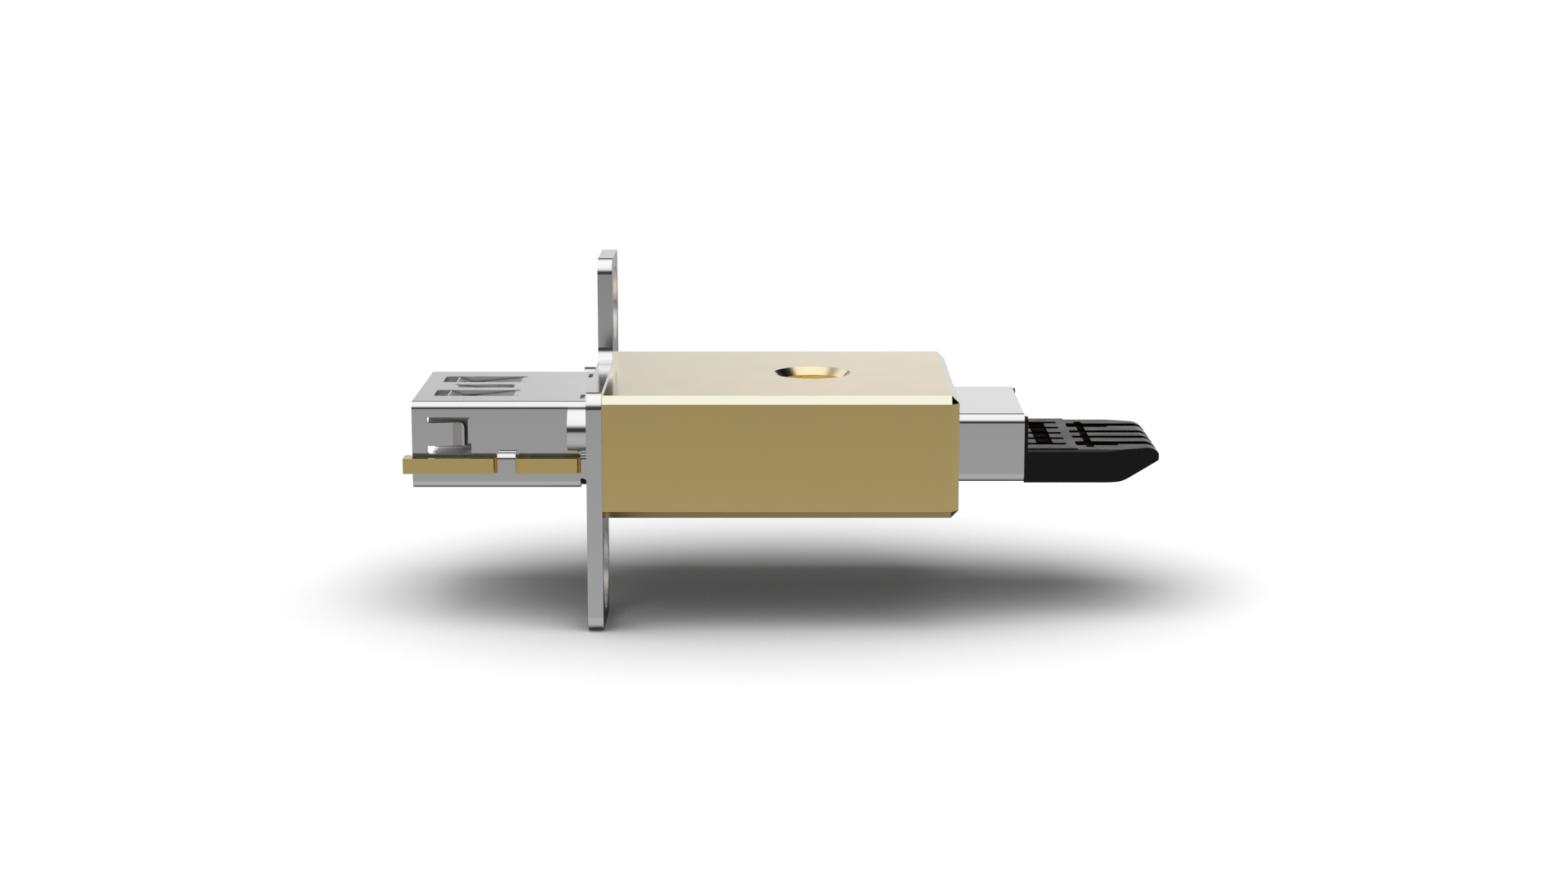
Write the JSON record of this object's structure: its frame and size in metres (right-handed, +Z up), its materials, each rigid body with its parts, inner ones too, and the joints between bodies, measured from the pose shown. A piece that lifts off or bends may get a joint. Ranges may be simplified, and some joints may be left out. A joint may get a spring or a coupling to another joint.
{
  "type": "inline usb-a socket adapter",
  "caption": "Inline data connector: a usb-a socket on a circuit board, sunk into a machined brass block behind a flange with offset ears, and a usb-a plug with a long comb-like nose.",
  "frame": {"origin": "midway between the two ear holes, on the flange's block-side face, level with the middle of the plug shell", "axes": "+X from the socket to the plug, +Y across the connector away from the screw side that the picture shows, +Z up through the tapped hole"},
  "size_m": [0.0495, 0.0206, 0.0226],
  "materials": {
    "housing_metal": "fine brushed satin",
    "flange_metal": "satin stainless sheet",
    "screw_steel": "bright plated steel",
    "board_laminate": "glossy golden-brown laminate",
    "shell_steel": "bright rolled sheet, nickel plated",
    "black_plastic": "moulded, semi-matt",
    "contact_metal": "gold flash on copper alloy"
  },
  "bodies": {
    "root": {"housing_block": "housing_metal", "flange_plate": "flange_metal", "flange_screws": "screw_steel", "circuit_board": "board_laminate", "socket_shell": "shell_steel", "plug_shell": "shell_steel", "socket_insulator": "black_plastic", "plug_insert": "black_plastic", "socket_contact_front_1": "contact_metal", "socket_contact_front_2": "contact_metal", "socket_contact_front_3": "contact_metal", "socket_contact_front_4": "contact_metal", "socket_contact_front_5": "contact_metal", "socket_contact_spring_1": "contact_metal", "socket_contact_spring_2": "contact_metal", "socket_contact_spring_3": "contact_metal", "socket_contact_spring_4": "contact_metal", "plug_contact_rear_1": "contact_metal", "plug_contact_rear_2": "contact_metal", "plug_contact_rear_3": "contact_metal", "plug_contact_rear_4": "contact_metal", "plug_contact_rear_5": "contact_metal", "plug_contact_front_1": "contact_metal", "plug_contact_front_2": "contact_metal", "plug_contact_front_3": "contact_metal", "plug_contact_front_4": "contact_metal"}
  },
  "joints": []
}
